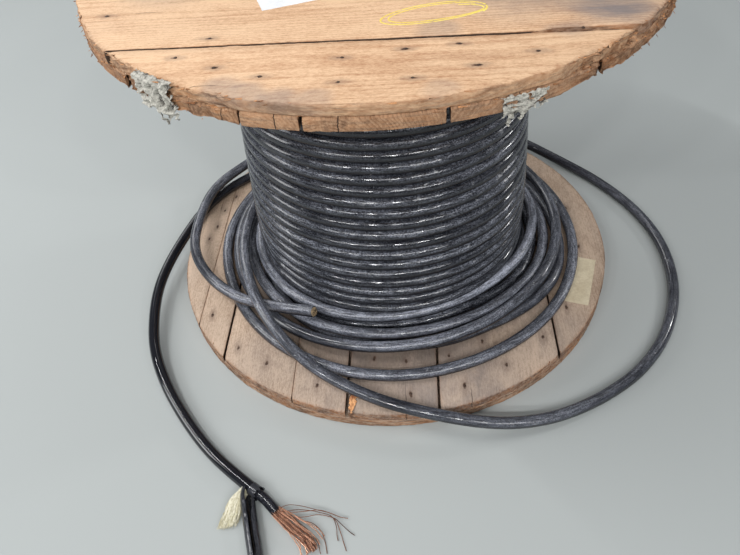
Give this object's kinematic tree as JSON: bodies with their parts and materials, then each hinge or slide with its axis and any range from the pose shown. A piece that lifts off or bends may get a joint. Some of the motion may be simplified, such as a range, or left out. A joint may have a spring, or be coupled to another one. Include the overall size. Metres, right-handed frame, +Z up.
{
  "type": "wooden cable drum",
  "caption": "Wooden two-ply flanged cable drum wound with black power cable, with slack turns, a long loose loop and a stripped end.",
  "frame": {"origin": "centre of the lower flange's underside, on the floor", "axes": "+Z up along the drum's spindle axis; X along the boards of the outer plies; the front, where the loose loop lies, faces -Y"},
  "size_m": [1.111, 1.161, 0.6604],
  "materials": {
    "wood_outer": "rough sawn softwood, weathered",
    "wood_inner": "rough sawn softwood",
    "wood_stave": "sawn softwood",
    "zinc_steel": "dull zinc plate",
    "cable_jacket": "dusty satin jacket",
    "cable_jacket_free": "satin jacket",
    "core_insulation": "smooth gloss",
    "bare_copper": "fine bare copper strands",
    "slit_jacket": "satin, cut open",
    "filler_paper": "matte paper"
  },
  "bodies": {
    "root": {"barrel_stave_01": "wood_stave", "barrel_stave_02": "wood_stave", "barrel_stave_03": "wood_stave", "barrel_stave_04": "wood_stave", "barrel_stave_05": "wood_stave", "barrel_stave_06": "wood_stave", "barrel_stave_07": "wood_stave", "barrel_stave_08": "wood_stave", "barrel_stave_09": "wood_stave", "barrel_stave_10": "wood_stave", "barrel_stave_11": "wood_stave", "barrel_stave_12": "wood_stave", "barrel_stave_13": "wood_stave", "barrel_stave_14": "wood_stave", "barrel_stave_15": "wood_stave", "barrel_stave_16": "wood_stave", "bottom_inner_board_1": "wood_inner", "bottom_inner_board_2": "wood_inner", "bottom_inner_board_3": "wood_inner", "bottom_inner_board_4": "wood_inner", "bottom_inner_board_5": "wood_inner", "bottom_inner_board_6": "wood_inner", "bottom_inner_board_7": "wood_inner", "bottom_outer_board_1": "wood_outer", "bottom_outer_board_2": "wood_outer", "bottom_outer_board_3": "wood_outer", "bottom_outer_board_4": "wood_outer", "bottom_outer_board_5": "wood_outer", "bottom_washers": "zinc_steel", "copper_strands": "bare_copper", "cut_tail": "cable_jacket_free", "filler_paper": "filler_paper", "loose_cable": "cable_jacket_free", "slit_jacket": "slit_jacket", "stripped_core": "core_insulation", "tie_bolt_1": "zinc_steel", "tie_bolt_2": "zinc_steel", "tie_bolt_3": "zinc_steel", "tie_bolt_4": "zinc_steel", "tie_bolt_nuts": "zinc_steel", "top_inner_board_1": "wood_inner", "top_inner_board_2": "wood_inner", "top_inner_board_3": "wood_inner", "top_inner_board_4": "wood_inner", "top_inner_board_5": "wood_inner", "top_inner_board_6": "wood_inner", "top_outer_board_1": "wood_outer", "top_outer_board_2": "wood_outer", "top_outer_board_3": "wood_outer", "top_outer_board_4": "wood_outer", "top_outer_board_5": "wood_outer", "top_washers": "zinc_steel", "wound_cable": "cable_jacket"}
  },
  "joints": []
}
